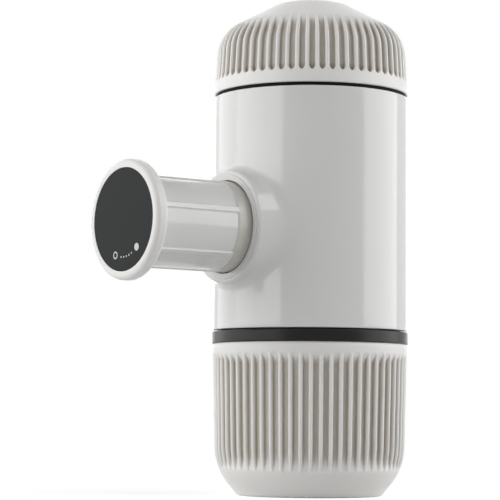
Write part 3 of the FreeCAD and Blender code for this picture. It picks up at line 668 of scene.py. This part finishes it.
# Knob disc
# A thin charcoal film disc is bonded into the cap's recess. Its fine grain takes the shine off it.
# Pale printed marks show which way the lock turns: an open ring, a dotted arc and a solid dot.
film_material, film = new_tree("charcoal_printed_film")
film_place = add_node(film, "ShaderNodeTexCoord", {}, {})
film_grain_size = 0.35 * mm
film_grain = add_node(film, "ShaderNodeTexNoise", {},
                      {"Vector": film_place.outputs["Object"], "Scale": 1 / film_grain_size, "Detail": 2.0})
film_tint = add_node(film, "ShaderNodeMix", {"data_type": "RGBA"},
                     {"Factor": film_grain.outputs["Fac"], 6: linear("0F1012"), 7: linear("181A1C")})
film_bump = add_node(film, "ShaderNodeBump", {},
                     {"Height": film_grain.outputs["Fac"], "Distance": 0.02 * mm, "Strength": 0.5})
film_shader = add_node(film, "ShaderNodeBsdfPrincipled", {},
                       {"Base Color": film_tint.outputs[2], "Roughness": 0.5, "IOR": 1.5,
                        "Specular IOR Level": 0.12, "Normal": film_bump.outputs["Normal"]})
add_node(film, "ShaderNodeOutputMaterial", {}, {"Surface": film_shader.outputs[0]})

film_front = knob_front - 0.12 * mm
film_radius = disc_radius - 0.03 * mm
film_edge = 0.1 * mm
film_edge_steps = 3
film_rows = bevel([
    (0, recess_floor), (film_radius, recess_floor), (film_radius, film_front, film_edge), (0, film_front),
], film_edge_steps)
disc = turned_mesh("disc_film", film_rows, turn_steps, film_material, on_pump)
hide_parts("knob_disc")
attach(disc, "knob")

# Screen ink is matt and slightly uneven, so the marks are a broken pale grey.
ink_material, ink = new_tree("pale_grey_screen_ink")
ink_place = add_node(ink, "ShaderNodeTexCoord", {}, {})
ink_patch = add_node(ink, "ShaderNodeTexNoise", {},
                     {"Vector": ink_place.outputs["Object"], "Scale": 1 / film_grain_size, "Detail": 2.0})
ink_tint = add_node(ink, "ShaderNodeMix", {"data_type": "RGBA"},
                    {"Factor": ink_patch.outputs["Fac"], 6: linear("C4C6C8"), 7: linear("E2E3E4")})
ink_shader = add_node(ink, "ShaderNodeBsdfPrincipled", {},
                      {"Base Color": ink_tint.outputs[2], "Roughness": 0.7})
add_node(ink, "ShaderNodeOutputMaterial", {}, {"Surface": ink_shader.outputs[0]})

ink_thickness = 0.03 * mm
mark_ring = 11.3 * mm
mark_radius = 1.15 * mm
mark_bore = 0.75 * mm
mark_steps = 24
open_place = 250
shut_place = 310
arc_start = 266
arc_spacing = 7
arc_dots = 5
arc_dot_radius = 0.28 * mm


def printed_mark(name, at_degrees, inner, outer):
    """A ring or dot of ink on the disc, at a place round its middle."""
    turn = math.radians(at_degrees)
    offset = Matrix.Translation((mark_ring * math.cos(turn), mark_ring * math.sin(turn), 0))
    corners = [(inner, film_front), (outer, film_front), (outer, film_front + ink_thickness),
               (inner, film_front + ink_thickness)]
    mark = turned_mesh(name, corners, mark_steps, ink_material, on_pump @ offset)
    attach(mark, "knob")


printed_mark("mark_open", open_place, mark_bore, mark_radius)
printed_mark("mark_shut", shut_place, 0, mark_radius)
for number in range(arc_dots):
    printed_mark("mark_step_%d" % (number + 1), arc_start + arc_spacing * number, 0, arc_dot_radius)


# Water tank and cup
# Both are satin ABS mouldings with upright grip grooves all round.
# On the tank the grooves start in a round above the plain band, climb over the shoulder and fade out.
# On the cup they start in a softer round under the rim and run out above the foot.
groove_count = 60
groove_depth = 1.5 * mm
groove_pitch = 2 * math.pi / groove_count
ridge_spacing = body_radius * groove_pitch
ridge_top_round = 0.66 * mm
ridge_flank = math.radians(75)
floor_round = 0.3 * mm
groove_end_length = 1.5 * mm
plain_row = 0.8 * mm
fine_row = 0.16 * mm
least_row = fine_row / 4
# Across one pitch, the mesh is finest on the round and the flank of the ridge.
half_stations = (0, 0.04, 0.08, 0.11, 0.135, 0.155, 0.18, 0.21, 0.24, 0.27, 0.33, 0.41, 0.5)
pitch_stations = half_stations + tuple(1 - s for s in half_stations[-2:0:-1])


def ridge_drop(off, depth):
    """How far the surface lies under a ridge's crest, by the distance from its middle."""
    turn_over = ridge_top_round * math.sin(ridge_flank)
    if off < turn_over:
        drop = ridge_top_round - math.sqrt(ridge_top_round ** 2 - off ** 2)
    else:
        drop = ridge_top_round * (1 - math.cos(ridge_flank)) + (off - turn_over) * math.tan(ridge_flank)
    # Where the flank meets the floor, a smooth minimum of the two rounds the corner.
    meeting = max(floor_round - abs(drop - depth), 0) / floor_round
    return max(min(drop, depth) - meeting ** 2 * floor_round / 4, 0)


def ribbed_mesh(name, rows, turn, depth_at, widen_at, material):
    """Turns a profile and sinks the grooves along its own normals."""
    normals = []
    for i, row in enumerate(rows):
        before, after = rows[i - 1], rows[(i + 1) % len(rows)]
        tangent = Vector((after[0] - before[0], after[1] - before[1])).normalized()
        normals.append(Vector((tangent.y, -tangent.x)))
    first = math.radians(turn)

    def form(index, angle):
        radius, height = rows[index]
        depth = depth_at(index, radius, height)
        if depth <= 0:
            return radius, height
        share = (angle - first) / groove_pitch % 1
        off = min(share, 1 - share) * ridge_spacing - widen_at(height)
        sunk = ridge_drop(max(off, 0), depth)
        return radius - normals[index].x * sunk, height - normals[index].y * sunk

    columns = [first + groove_pitch * (n + t) for n in range(groove_count) for t in pitch_stations]
    return turned_mesh(name, rows, columns, material, form=form)


def rounded_end(distance):
    """How much wider a ridge is near the round end of a groove, by the distance from that end."""
    share = min(max(distance / groove_end_length, 0), 1)
    return ridge_spacing / 2 * (1 - math.sqrt(1 - (1 - share) ** 2))


def divided(points, fine_from, fine_to):
    """A profile cut into short stretches, which are finer between two heights."""
    result = []
    for here, there in zip(points, points[1:]):
        here, there = Vector(here), Vector(there)
        length = (there - here).length
        along = 0
        while along < length - least_row:
            point = here.lerp(there, along / length)
            result.append(tuple(point))
            along += fine_row if fine_from < point.y < fine_to else plain_row
    return result + [points[-1]]


tank_low, tank_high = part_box("water_tank")
tank_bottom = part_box("tank_seal")[1].z
tank_top = tank_high.z
tank_turn = 0.4
tank_groove_foot = tank_bottom + 3.9 * mm
tank_fine_low = tank_groove_foot - 0.7 * mm
tank_fine_high = tank_groove_foot + 1.4 * mm
tank_foot_radius = 30.9 * mm
tank_foot_round = 0.35 * mm
shoulder_radius = 29.75 * mm
shoulder_height = tank_bottom + 19.35 * mm
shoulder_round = 11.3 * mm
flat_radius = 11.6 * mm
flat_round = 2.0 * mm
profile_steps = 14
tank_wall = 2.6 * mm
tank_ceiling = tank_top - tank_wall
tank_ledge = tank_bottom + tank_wall
tank_bore = shoulder_radius - 2.8 * mm
tank_bore_top = shoulder_height - 2.5 * mm
neck_outer = 26.98 * mm
neck_inner = 24.68 * mm
tank_outer = divided(bevel([
    (neck_outer, tank_bottom), (tank_foot_radius, tank_bottom, tank_foot_round),
    (shoulder_radius, shoulder_height, shoulder_round), (flat_radius, tank_top, flat_round), (0, tank_top),
], profile_steps)[:-1], tank_fine_low, tank_fine_high)
tank_inner = [(0, tank_ceiling), (flat_radius, tank_ceiling), (tank_bore, tank_bore_top),
              (tank_bore, tank_ledge), (neck_inner, tank_ledge), (neck_inner, tank_low.z),
              (neck_outer, tank_low.z)]
tank_rows = tank_inner + tank_outer + [(0, tank_top)]
tank_outer_first = len(tank_inner)
tank_outer_last = tank_outer_first + len(tank_outer)
groove_end_radius = 24.2 * mm
groove_full_radius = 28.8 * mm


def tank_depth(index, radius, height):
    """How deep the tank's grooves are at a point of its profile."""
    if not tank_outer_first <= index < tank_outer_last or height < tank_groove_foot:
        return 0
    fade = soft((radius - groove_end_radius) / (groove_full_radius - groove_end_radius))
    return groove_depth * fade


def tank_widen(height):
    """How much the tank's ridges widen towards the lower ends of the grooves."""
    return rounded_end(height - tank_groove_foot)


tank = ribbed_mesh("tank_dome", tank_rows, tank_turn, tank_depth, tank_widen, satin_material)
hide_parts("water_tank")
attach(tank, "tank")

cup_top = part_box("portable_cup")[1].z
cup_turn = -2.5
cup_groove_top = cup_top - 2.7 * mm
cup_groove_full = cup_groove_top - 4.2 * mm
cup_groove_radius = 28.4 * mm
cup_fine_low = cup_groove_top - 2.4 * mm
cup_fine_high = cup_groove_top + 0.2 * mm
cup_foot_radius = 22.8 * mm
cup_foot_round = 2.0 * mm
cup_shoulder_radius = 29.9 * mm
cup_shoulder_height = 9.0 * mm
cup_shoulder_round = 19.6 * mm
cup_rim_radius = 30.8 * mm
cup_rim_round = 0.35 * mm
cup_wall = 3.4 * mm
cup_inner_radius = cup_shoulder_radius - cup_wall
cup_inner_foot = 7.7 * mm
cup_inner_round = 4.0 * mm
cup_floor = 3.0 * mm
cup_floor_radius = 21.1 * mm
cup_floor_round = 2.0 * mm
cup_outer = divided(bevel([
    (0, 0), (cup_foot_radius, 0, cup_foot_round),
    (cup_shoulder_radius, cup_shoulder_height, cup_shoulder_round),
    (cup_rim_radius, cup_top, cup_rim_round), (cup_inner_radius, cup_top),
], profile_steps)[1:], cup_fine_low, cup_fine_high)
cup_rows = [(0, 0)] + cup_outer + bevel([
    (cup_inner_radius, cup_top), (cup_inner_radius, cup_inner_foot, cup_inner_round),
    (cup_floor_radius, cup_floor, cup_floor_round), (0, cup_floor),
])[1:]
cup_outer_last = 1 + len(cup_outer)


def cup_depth(index, radius, height):
    """How deep the cup's grooves are at a point of its profile."""
    if index >= cup_outer_last or height > cup_groove_top or radius < cup_groove_radius:
        return 0
    run_out = min(groove_depth, radius - cup_groove_radius)
    return run_out * soft((cup_groove_top - height) / (cup_groove_top - cup_groove_full))


def cup_widen(height):
    """How much the cup's ridges widen towards the upper ends of the grooves."""
    return rounded_end(cup_groove_top - height)


cup = ribbed_mesh("cup_body", cup_rows, cup_turn, cup_depth, cup_widen, satin_material)
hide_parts("portable_cup")
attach(cup, "cup")

# Outlet head, spout and plain inner frame
# The outlet head is a satin black nylon moulding, and its collar is the dark ring over the cup.
# The spout, the lock sleeve, the plunger and the frame parts behind the shell are the same nylon.
nylon_material, nylon = new_tree("satin_black_nylon")
nylon_place = add_node(nylon, "ShaderNodeTexCoord", {}, {})
nylon_grain_size = 0.4 * mm
nylon_grain = add_node(nylon, "ShaderNodeTexNoise", {},
                       {"Vector": nylon_place.outputs["Object"], "Scale": 1 / nylon_grain_size,
                        "Detail": 2.0})
nylon_tint = add_node(nylon, "ShaderNodeMix", {"data_type": "RGBA"},
                      {"Factor": nylon_grain.outputs["Fac"], 6: linear("090909"), 7: linear("0F0F10")})
nylon_rough = add_node(nylon, "ShaderNodeMapRange", {},
                       {"Value": nylon_grain.outputs["Fac"], "To Min": 0.26, "To Max": 0.36})
nylon_bump = add_node(nylon, "ShaderNodeBump", {},
                      {"Height": nylon_grain.outputs["Fac"], "Distance": 0.02 * mm, "Strength": 0.4})
nylon_shader = add_node(nylon, "ShaderNodeBsdfPrincipled", {},
                        {"Base Color": nylon_tint.outputs[2], "Roughness": nylon_rough.outputs["Result"],
                         "IOR": 1.53, "Specular IOR Level": 0.2, "Normal": nylon_bump.outputs["Normal"]})
add_node(nylon, "ShaderNodeOutputMaterial", {}, {"Surface": nylon_shader.outputs[0]})

head_low, head_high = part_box("outlet_head")
collar_top = cup_top + 3.8 * mm
collar_edge = 0.35 * mm
plain_edge = 0.3 * mm
head_round_steps = 5
skirt_clearance = 0.3 * mm
skirt_outer = cup_inner_radius - skirt_clearance
skirt_inner = skirt_outer - 1.8 * mm
skirt_foot = cup_top - 8 * mm
funnel_outer = 23.3 * mm
funnel_foot = 40.8 * mm
funnel_round = 1.0 * mm
basket_seat = 56.5 * mm
basket_well = 21.5 * mm
well_floor = 42.3 * mm
outlet_bore = 2.6 * mm
outlet_top = 34.3 * mm
port_low = 31.9 * mm
port_inner = 9.02 * mm
port_outer = 10.62 * mm
port_root_round = 0.5 * mm
head_rows = bevel([
    (outlet_bore, port_low), (port_inner, port_low), (port_inner, head_low.z),
    (port_outer, head_low.z, plain_edge), (port_outer, port_low, port_root_round),
    (funnel_outer, funnel_foot, funnel_round), (funnel_outer, cup_top), (skirt_inner, cup_top),
    (skirt_inner, skirt_foot), (skirt_outer, skirt_foot, plain_edge), (skirt_outer, cup_top),
    (body_radius, cup_top, collar_edge), (body_radius, collar_top, collar_edge), (neck_outer, collar_top),
    (neck_outer, head_high.z, plain_edge), (neck_inner, head_high.z, plain_edge),
    (neck_inner, basket_seat), (basket_well, basket_seat), (basket_well, well_floor),
    (outlet_bore, outlet_top),
], head_round_steps)
head = turned_mesh("head_with_collar", head_rows, turn_steps, nylon_material)
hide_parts("outlet_head")
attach(head, "head")


def dress(material, *names):
    """Gives CAD parts a finish in place of their plain one."""
    for name in names:
        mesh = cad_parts[name].data
        mesh.materials.clear()
        mesh.materials.append(material)


dress(nylon_material, "spout_nozzle", "tank_socket", "group_block", "valve_block", "lock_sleeve", "plunger")

# Rubber seals
# Seals, rings and the tank's gasket are moulded black silicone, matt with a soft bloom on the surface.
# The tank's gasket shows as the dark line under the dome.
seal_material, seal = new_tree("moulded_black_silicone")
seal_place = add_node(seal, "ShaderNodeTexCoord", {}, {})
bloom_size = 3 * mm
seal_bloom = add_node(seal, "ShaderNodeTexNoise", {},
                      {"Vector": seal_place.outputs["Object"], "Scale": 1 / bloom_size, "Detail": 4.0})
seal_tint = add_node(seal, "ShaderNodeMix", {"data_type": "RGBA"},
                     {"Factor": seal_bloom.outputs["Fac"], 6: linear("090909"), 7: linear("111111")})
seal_shader = add_node(seal, "ShaderNodeBsdfPrincipled", {},
                       {"Base Color": seal_tint.outputs[2], "Roughness": 0.7, "IOR": 1.41,
                        "Specular IOR Level": 0.15})
add_node(seal, "ShaderNodeOutputMaterial", {}, {"Surface": seal_shader.outputs[0]})
dress(seal_material, "tank_seal", "head_seal", "group_seal", "plunger_rings", "cylinder_seal")

# Valves and clear rubber
# The poppets, the air valve and the pressure valve are milky silicone that lets some light through.
# Their surface is smooth from a polished tool.
milky_material, milky = new_tree("moulded_milky_silicone")
milky_place = add_node(milky, "ShaderNodeTexCoord", {}, {})
milky_cloud = add_node(milky, "ShaderNodeTexNoise", {},
                       {"Vector": milky_place.outputs["Object"], "Scale": 1 / bloom_size, "Detail": 2.0})
milky_tint = add_node(milky, "ShaderNodeMix", {"data_type": "RGBA"},
                      {"Factor": milky_cloud.outputs["Fac"], 6: linear("D6D6D2"), 7: linear("E4E4E1")})
milky_shader = add_node(milky, "ShaderNodeBsdfPrincipled", {},
                        {"Base Color": milky_tint.outputs[2], "Roughness": 0.35, "IOR": 1.41,
                         "Subsurface Weight": 0.3, "Subsurface Scale": 1.0 * mm})
add_node(milky, "ShaderNodeOutputMaterial", {}, {"Surface": milky_shader.outputs[0]})
dress(milky_material, "inlet_poppet", "outlet_poppet", "air_valve", "pressure_valve")

# Bearings
# The guide bush, the thrust washer, the valve seat and the plug are natural acetal, waxy and off-white.
# Turned or moulded acetal has a low sheen with a faint cloudiness.
acetal_material, acetal = new_tree("moulded_natural_acetal")
acetal_place = add_node(acetal, "ShaderNodeTexCoord", {}, {})
acetal_cloud = add_node(acetal, "ShaderNodeTexNoise", {},
                        {"Vector": acetal_place.outputs["Object"], "Scale": 1 / bloom_size, "Detail": 3.0})
acetal_tint = add_node(acetal, "ShaderNodeMix", {"data_type": "RGBA"},
                       {"Factor": acetal_cloud.outputs["Fac"], 6: linear("E2E0D8"), 7: linear("EDEBE4")})
acetal_shader = add_node(acetal, "ShaderNodeBsdfPrincipled", {},
                         {"Base Color": acetal_tint.outputs[2], "Roughness": 0.4, "IOR": 1.48})
add_node(acetal, "ShaderNodeOutputMaterial", {}, {"Surface": acetal_shader.outputs[0]})
dress(acetal_material, "guide_bush", "thrust_washer", "inlet_seat", "outlet_plug")

# Stainless parts
# The basket, screens, cylinder and screws are stainless steel, drawn or turned and then brushed.
# Fine level scratches spread the highlights of each part along its height.
steel_material, steel = new_tree("brushed_stainless_steel")
steel_place = add_node(steel, "ShaderNodeTexCoord", {}, {})
scratch_size = 0.3 * mm
scratch_stretch = 0.08
steel_stretch = add_node(steel, "ShaderNodeMapping", {},
                         {"Vector": steel_place.outputs["Object"],
                          "Scale": (scratch_stretch, scratch_stretch, 1.0)})
steel_scratch = add_node(steel, "ShaderNodeTexNoise", {},
                         {"Vector": steel_stretch.outputs[0], "Scale": 1 / scratch_size, "Detail": 3.0})
steel_rough = add_node(steel, "ShaderNodeMapRange", {},
                       {"Value": steel_scratch.outputs["Fac"], "To Min": 0.22, "To Max": 0.38})
steel_bump = add_node(steel, "ShaderNodeBump", {},
                      {"Height": steel_scratch.outputs["Fac"], "Distance": 0.01 * mm, "Strength": 0.4})
steel_shader = add_node(steel, "ShaderNodeBsdfPrincipled", {},
                        {"Base Color": linear("BDBBB6"), "Metallic": 1.0,
                         "Roughness": steel_rough.outputs["Result"], "Normal": steel_bump.outputs["Normal"]})
add_node(steel, "ShaderNodeOutputMaterial", {}, {"Surface": steel_shader.outputs[0]})
dress(steel_material, "filter_basket", "basket_screen", "shower_screen", "screen_screw", "frame_screws",
      "knob_screw", "pump_cylinder", "intake_strainer")

# Wound springs
# The return spring and the three valve springs are stainless wire, drawn hard and wound on a mandrel.
# Each stands on a fixed seat.
wire_sides = 8
steps_to_a_turn = 32


def wound_spring(name, outer_radius, wire_radius, turns, low, high, place):
    """Wire wound evenly about the place's Z axis, from one seat to the other."""
    maker = bmesh.new()
    mean_radius = outer_radius - wire_radius
    rise = high - low - 2 * wire_radius
    steps = turns * steps_to_a_turn
    rings = []
    for i in range(steps + 1):
        turn = 2 * math.pi * i / steps_to_a_turn
        ring = []
        for k in range(wire_sides):
            around = 2 * math.pi * k / wire_sides
            radius = mean_radius + wire_radius * math.cos(around)
            height = low + wire_radius + rise * i / steps + wire_radius * math.sin(around)
            point = Vector((radius * math.cos(turn), radius * math.sin(turn), height))
            ring.append(maker.verts.new(place @ point))
        rings.append(ring)
    for lower, upper in zip(rings, rings[1:]):
        for k in range(wire_sides):
            beside = (k + 1) % wire_sides
            maker.faces.new((lower[k], lower[beside], upper[beside], upper[k]))
    maker.faces.new(rings[0][::-1])
    maker.faces.new(rings[-1])
    return finish_mesh(name, maker, steel_material)


return_low, return_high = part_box("return_spring")
return_wire_radius = 0.65 * mm
return_turns = 9
return_coil = wound_spring("return_coil", return_high.x, return_wire_radius, return_turns,
                           -return_high.y, -return_low.y, on_pump)
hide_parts("return_spring")
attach(return_coil, "housing")
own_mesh(return_coil)

valve_turns = 4
# Each valve's spring: the body that it stands on, the joint that presses it, its travel and wire radius.
valve_springs = [
    ("inlet", "housing", "inlet_valve_lift", 1.5 * mm, 0.3 * mm),
    ("outlet", "housing", "outlet_valve_lift", 1.5 * mm, 0.3 * mm),
    ("pressure", "head", "pressure_valve_lift", 2.0 * mm, 0.4 * mm),
]
for valve, body, joint, travel, wire_radius in valve_springs:
    low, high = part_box(valve + "_spring")
    seat = ((low.x + high.x) / 2, (low.y + high.y) / 2, 0)
    coil = wound_spring(valve + "_coil", (high.x - low.x) / 2, wire_radius, valve_turns, low.z, high.z,
                        Matrix.Translation(seat))
    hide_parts(valve + "_spring")
    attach(coil, body)
    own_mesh(coil)
